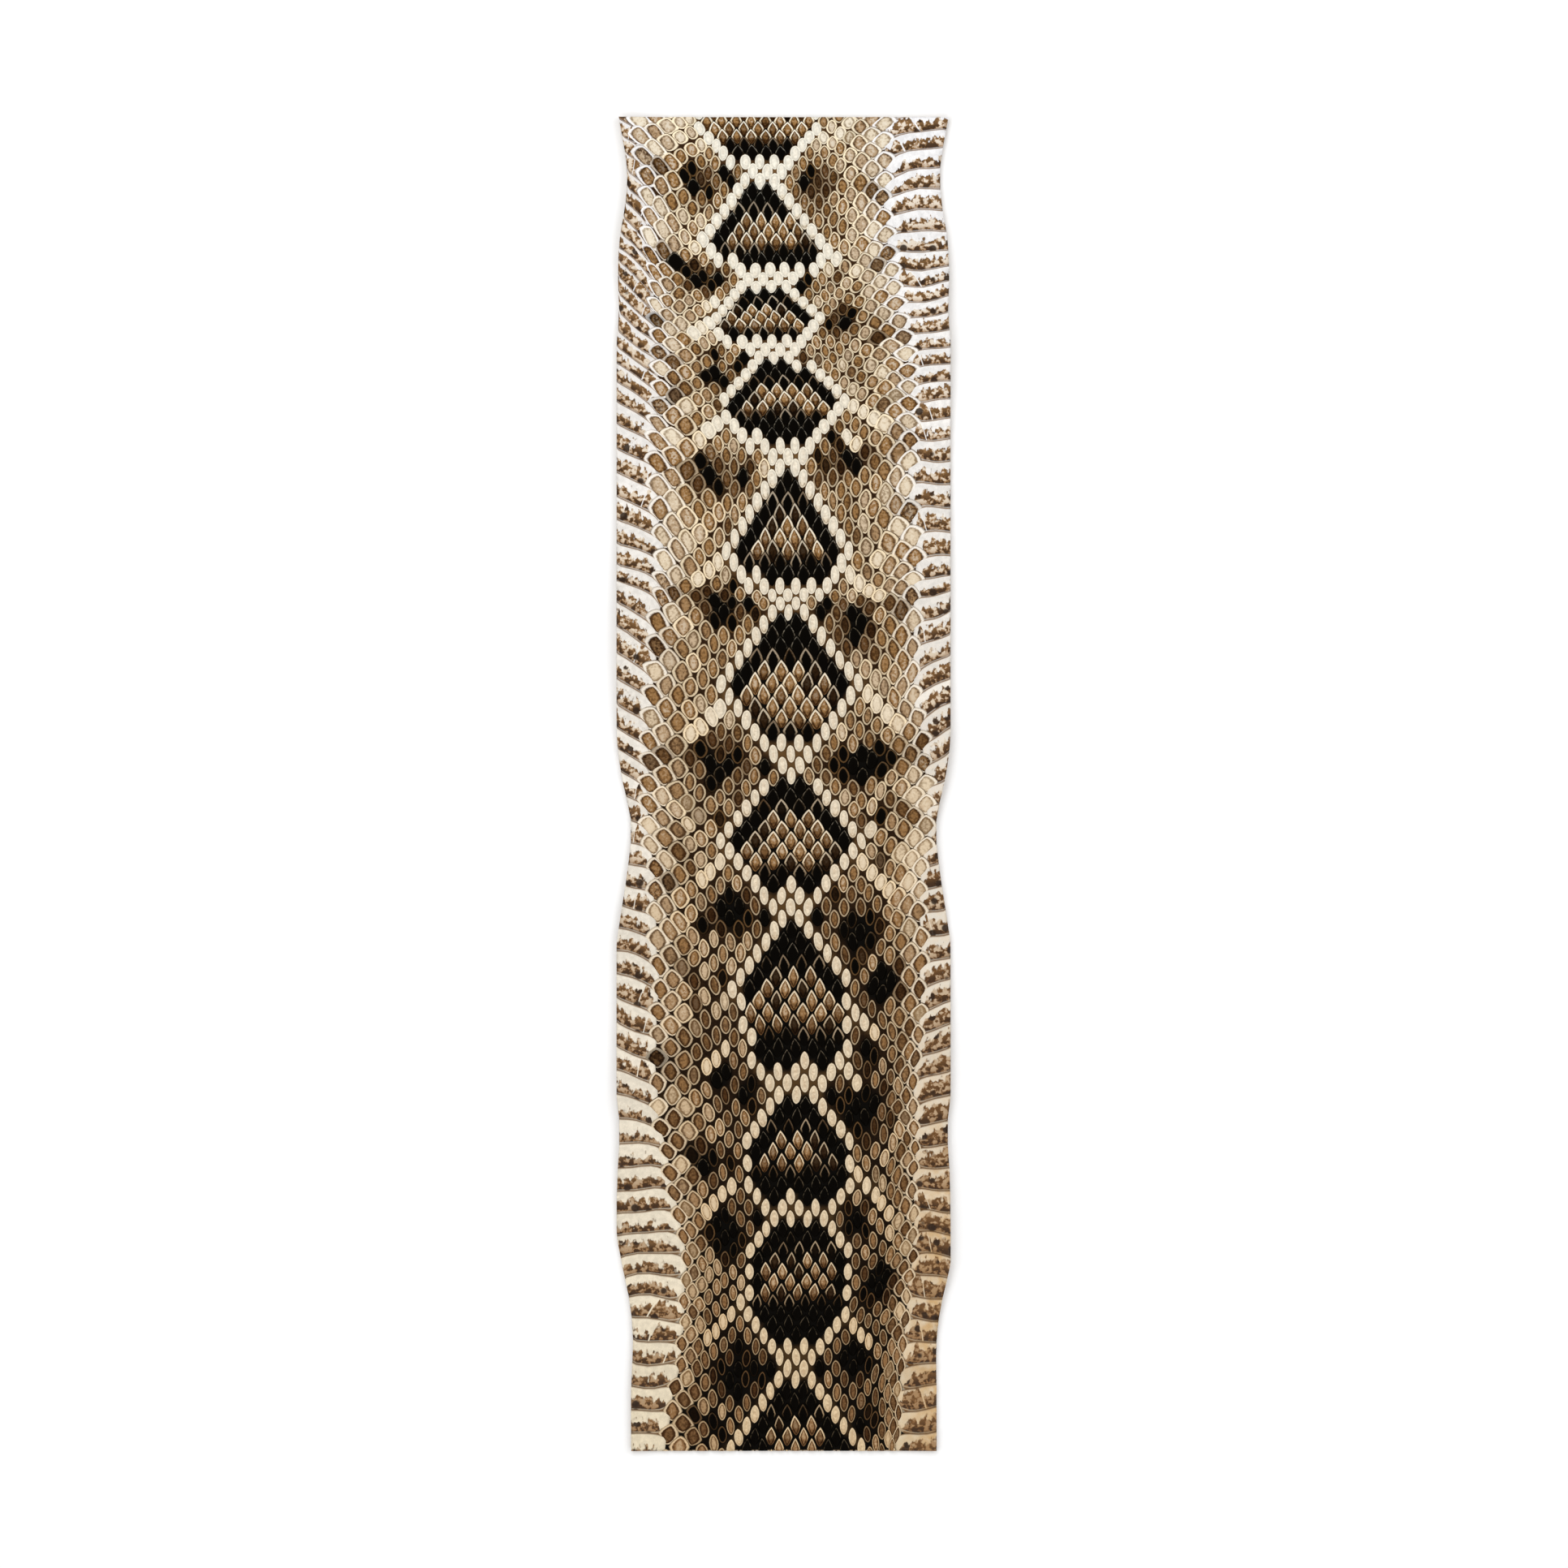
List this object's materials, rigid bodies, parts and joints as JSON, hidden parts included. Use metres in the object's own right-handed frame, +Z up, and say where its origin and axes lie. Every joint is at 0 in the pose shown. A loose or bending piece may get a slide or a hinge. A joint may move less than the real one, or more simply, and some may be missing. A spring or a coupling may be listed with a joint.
{
  "type": "tanned snake skin",
  "caption": "Flat strip of tanned diamondback rattlesnake skin with keeled back scales, cut belly scutes along both wavy sides and straight cut ends.",
  "frame": {"origin": "under the middle of the strip, on the surface that it lies on", "axes": "+Y along the strip towards the tail end, where the scale tips point, +X towards its right side seen from above, +Z up, away from the leather's underside"},
  "size_m": [0.1126, 0.45, 0.0034],
  "materials": {
    "snake_leather": "tanned scales, satin, with a pale suede underside"
  },
  "bodies": {
    "root": {"snake_skin": "snake_leather"}
  },
  "joints": []
}
